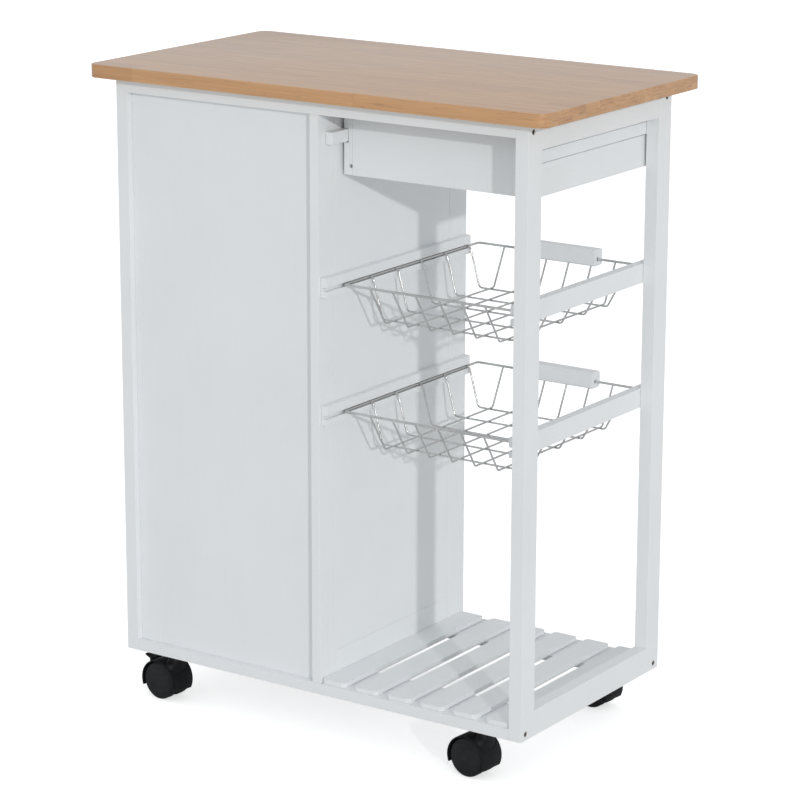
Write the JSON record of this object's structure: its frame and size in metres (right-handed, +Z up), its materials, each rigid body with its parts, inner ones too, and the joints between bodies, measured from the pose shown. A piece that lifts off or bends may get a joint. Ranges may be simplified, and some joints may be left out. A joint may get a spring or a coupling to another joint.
{
  "type": "rolling kitchen cart",
  "caption": "Rolling kitchen cart with a butcher block top, a drawer, sliding wire baskets, a door cabinet and a slatted bottom shelf on swivel casters.",
  "frame": {"origin": "on the floor under the middle of the bounding box", "axes": "+Z up; -Y is the front, where the drawer, the door and the basket handles face; the open bay is at -X and the cabinet at +X"},
  "size_m": [0.67, 0.3766, 0.831],
  "materials": {
    "butcher_block": "oiled, glued staves",
    "white_paint": "white satin paint",
    "panel_paint": "white painted board",
    "chrome": "polished plated wire",
    "steel": "satin nickel",
    "black_plastic": "moulded, fine texture",
    "tread": "moulded nylon"
  },
  "bodies": {
    "root": {"tabletop": "butcher_block", "post_front_bay": "white_paint", "post_back_bay": "white_paint", "post_front_cabinet": "white_paint", "post_back_cabinet": "white_paint", "top_rail_front": "white_paint", "top_rail_back": "white_paint", "top_rail_bay_end": "white_paint", "top_rail_cabinet_end": "white_paint", "bottom_rail_front": "white_paint", "bottom_rail_back": "white_paint", "bottom_rail_bay_end": "white_paint", "bottom_rail_cabinet_end": "white_paint", "partition": "white_paint", "back_panel": "panel_paint", "side_panel": "panel_paint", "cabinet_floor": "white_paint", "cabinet_shelf": "white_paint", "slat_1": "white_paint", "slat_2": "white_paint", "slat_3": "white_paint", "slat_4": "white_paint", "slat_5": "white_paint", "slat_6": "white_paint", "batten_front": "white_paint", "batten_back": "white_paint", "drawer_runner_partition": "white_paint", "drawer_runner_end": "white_paint", "basket_rail_upper_partition": "white_paint", "basket_rail_upper_end": "white_paint", "basket_rail_lower_partition": "white_paint", "basket_rail_lower_end": "white_paint", "hinge_lower_frame_leaf": "steel", "hinge_upper_frame_leaf": "steel", "door_catch": "black_plastic"},
    "door": {"door": "white_paint", "door_knob": "steel", "hinge_lower_door_leaf": "steel", "hinge_upper_door_leaf": "steel", "door_strike_plate": "steel"},
    "drawer": {"drawer_front": "white_paint", "drawer_back": "white_paint", "drawer_side_partition": "white_paint", "drawer_side_end": "white_paint", "drawer_bottom": "panel_paint", "drawer_knob": "steel"},
    "upper_basket": {"basket_upper": "chrome", "basket_upper_handle": "white_paint"},
    "lower_basket": {"basket_lower": "chrome", "basket_lower_handle": "white_paint"},
    "caster_front_bay": {"caster_front_bay_housing": "black_plastic"},
    "wheels_front_bay": {"caster_front_bay_wheels": "tread"},
    "caster_back_bay": {"caster_back_bay_housing": "black_plastic"},
    "wheels_back_bay": {"caster_back_bay_wheels": "tread"},
    "caster_front_cabinet": {"caster_front_cabinet_housing": "black_plastic"},
    "wheels_front_cabinet": {"caster_front_cabinet_wheels": "tread"},
    "brake_front_cabinet": {"caster_front_cabinet_brake_lever": "black_plastic"},
    "caster_back_cabinet": {"caster_back_cabinet_housing": "black_plastic"},
    "wheels_back_cabinet": {"caster_back_cabinet_wheels": "tread"},
    "brake_back_cabinet": {"caster_back_cabinet_brake_lever": "black_plastic"}
  },
  "joints": [
    {"name": "door_hinge", "type": "hinge", "parent": "root", "child": "door", "pos_m": [0.28465, -0.16355, 0.436], "axis": [0, 0, 1], "range_deg": [0, 110]},
    {"name": "drawer_slide", "type": "slide", "parent": "root", "child": "drawer", "axis": [0, -1, 0], "range_m": [0, 0.22]},
    {"name": "upper_basket_slide", "type": "slide", "parent": "root", "child": "upper_basket", "axis": [0, -1, 0], "range_m": [0, 0.2]},
    {"name": "lower_basket_slide", "type": "slide", "parent": "root", "child": "lower_basket", "axis": [0, -1, 0], "range_m": [0, 0.2]},
    {"name": "swivel_front_bay", "type": "hinge", "parent": "root", "child": "caster_front_bay", "pos_m": [-0.2396, -0.14185, 0.0624], "axis": [0, 0, 1], "continuous": true},
    {"name": "roll_front_bay", "type": "hinge", "parent": "caster_front_bay", "child": "wheels_front_bay", "pos_m": [-0.22437, -0.14329, 0.025], "axis": [0.0941, 0.9956, 0], "continuous": true},
    {"name": "swivel_back_bay", "type": "hinge", "parent": "root", "child": "caster_back_bay", "pos_m": [-0.2396, 0.15135, 0.0624], "axis": [0, 0, 1], "continuous": true},
    {"name": "roll_back_bay", "type": "hinge", "parent": "caster_back_bay", "child": "wheels_back_bay", "pos_m": [-0.22437, 0.14991, 0.025], "axis": [0.0941, 0.9956, 0], "continuous": true},
    {"name": "swivel_front_cabinet", "type": "hinge", "parent": "root", "child": "caster_front_cabinet", "pos_m": [0.2396, -0.14185, 0.0624], "axis": [0, 0, 1], "continuous": true},
    {"name": "roll_front_cabinet", "type": "hinge", "parent": "caster_front_cabinet", "child": "wheels_front_cabinet", "pos_m": [0.25483, -0.14329, 0.025], "axis": [0.0941, 0.9956, 0], "continuous": true},
    {"name": "brake_front_cabinet", "type": "hinge", "parent": "caster_front_cabinet", "child": "brake_front_cabinet", "pos_m": [0.27441, -0.14514, 0.04844], "axis": [0.0941, 0.9956, 0], "range_deg": [0, 22]},
    {"name": "swivel_back_cabinet", "type": "hinge", "parent": "root", "child": "caster_back_cabinet", "pos_m": [0.2396, 0.15135, 0.0624], "axis": [0, 0, 1], "continuous": true},
    {"name": "roll_back_cabinet", "type": "hinge", "parent": "caster_back_cabinet", "child": "wheels_back_cabinet", "pos_m": [0.25483, 0.14991, 0.025], "axis": [0.0941, 0.9956, 0], "continuous": true},
    {"name": "brake_back_cabinet", "type": "hinge", "parent": "caster_back_cabinet", "child": "brake_back_cabinet", "pos_m": [0.27441, 0.14806, 0.04844], "axis": [0.0941, 0.9956, 0], "range_deg": [0, 22]}
  ]
}
